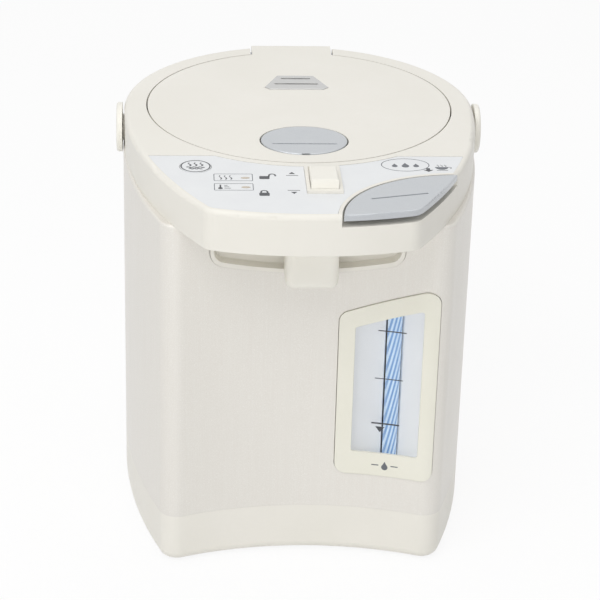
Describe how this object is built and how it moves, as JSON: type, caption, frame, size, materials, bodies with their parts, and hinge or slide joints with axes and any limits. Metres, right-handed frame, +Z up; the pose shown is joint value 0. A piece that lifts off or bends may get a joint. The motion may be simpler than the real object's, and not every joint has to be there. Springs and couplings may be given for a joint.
{
  "type": "electric thermo pot",
  "caption": "Electric hot-water dispenser: heated vessel in a painted shell, hinged lid, push key over a front spout, level window and carry handle.",
  "frame": {"origin": "on the floor under the vessel's axis, at the face of the centre foot", "axes": "+Z up along the vessel's axis, -Y towards the spout, +X towards the level window"},
  "size_m": [0.2238, 0.295, 0.2558],
  "materials": {
    "shell_paint": "champagne pearl, fine speckle",
    "cream_plastic": "cream, satin to semi-gloss",
    "dark_plastic": "black, matte",
    "inner_plastic": "natural, matte",
    "rubber": "dark grey, matte",
    "silicone": "translucent white",
    "zinc_steel": "zinc plated",
    "stainless": "drawn stainless sheet",
    "cast_aluminium": "as cast",
    "heater_sheet": "foil faced",
    "brass": "nickelled brass",
    "board": "solder mask",
    "spring_steel": "spring wire",
    "clear_tube": "clear tube",
    "clear_pane": "clear moulded pane",
    "stripe_tray": "white with blue diagonal stripes behind the tube",
    "label_film": "cool white printed film",
    "lens": "milky lens",
    "silver_film": "cool silver, satin"
  },
  "bodies": {
    "pot": {"body_shell": "shell_paint", "base_housing": "cream_plastic", "bottom_cover": "dark_plastic", "rubber_feet": "rubber", "bottom_screws": "zinc_steel", "power_inlet": "dark_plastic", "inlet_pins": "brass", "vessel": "stainless", "vessel_seal": "silicone", "heater_plate": "cast_aluminium", "band_heater": "heater_sheet", "thermostat": "dark_plastic", "heat_shield": "zinc_steel", "power_board": "board", "pump_housing": "inner_plastic", "pump_motor": "zinc_steel", "inlet_sleeve": "silicone", "riser_hose": "silicone", "gauge_tube": "clear_tube", "delivery_hose": "silicone", "outlet_tube": "inner_plastic", "window_frame": "cream_plastic", "window_pane": "clear_pane", "gauge_tray": "stripe_tray", "neck_bezel": "cream_plastic", "head_underside": "cream_plastic", "spout_cover": "cream_plastic", "head_housing": "cream_plastic", "tie_rods": "zinc_steel", "hinge_pin": "zinc_steel", "control_label": "label_film", "lock_bezel": "cream_plastic", "lamp_lenses": "lens", "lamp_leds": "lens", "control_board": "board", "board_screws": "zinc_steel", "key_spring": "spring_steel", "key_switch": "dark_plastic", "reboil_switch": "dark_plastic", "lock_switch": "dark_plastic", "pivot_pins": "cream_plastic"},
    "lid": {"lid_cover": "cream_plastic", "inner_lid": "stainless", "lid_gasket": "silicone", "steam_duct": "inner_plastic", "steam_vent": "silver_film", "lever_pin": "zinc_steel", "lever_spring": "spring_steel"},
    "lever": {"lid_lever": "silver_film"},
    "bolt": {"latch_bolt": "inner_plastic"},
    "key": {"dispense_key": "silver_film"},
    "reboil": {"reboil_button": "label_film"},
    "lock": {"lock_slider": "cream_plastic"},
    "handle": {"handle_bail": "cream_plastic"},
    "impeller": {"pump_impeller": "inner_plastic"}
  },
  "joints": [
    {"name": "lid_hinge", "type": "hinge", "parent": "pot", "child": "lid", "pos_m": [0, 0.0985, 0.2465], "axis": [-1, 0, 0], "range_deg": [0, 90]},
    {"name": "lid_lever", "type": "hinge", "parent": "lid", "child": "lever", "pos_m": [0, -0.05, 0.2466], "axis": [-1, 0, 0], "range_deg": [0, 12], "stiffness_Nm_per_rad": 0.12, "springref_deg": -11.46},
    {"name": "latch_slide", "type": "slide", "parent": "lid", "child": "bolt", "axis": [0, 1, 0], "range_m": [0, 0.0021]},
    {"name": "key_press", "type": "slide", "parent": "pot", "child": "key", "axis": [0, 0, -1], "range_m": [0, 0.003], "stiffness_N_per_m": 400, "springref_m": -0.003, "deforming": ["key_spring"]},
    {"name": "reboil_press", "type": "slide", "parent": "pot", "child": "reboil", "axis": [0, 0, -1], "range_m": [0, 0.0006], "stiffness_N_per_m": 1200, "springref_m": -0.0006},
    {"name": "lock_slide", "type": "slide", "parent": "pot", "child": "lock", "axis": [0, 1, 0], "range_m": [0, 0.007]},
    {"name": "handle_pivot", "type": "hinge", "parent": "pot", "child": "handle", "pos_m": [0, 0.002, 0.234], "axis": [1, 0, 0], "range_deg": [0, 115]},
    {"name": "impeller_spin", "type": "hinge", "parent": "pot", "child": "impeller", "pos_m": [0.03, -0.05, 0.046], "axis": [0, 0, 1], "continuous": true}
  ],
  "couplings": [
    {"joint": "latch_slide", "follows": "lid_lever", "m_per_rad": 0.009549}
  ]
}
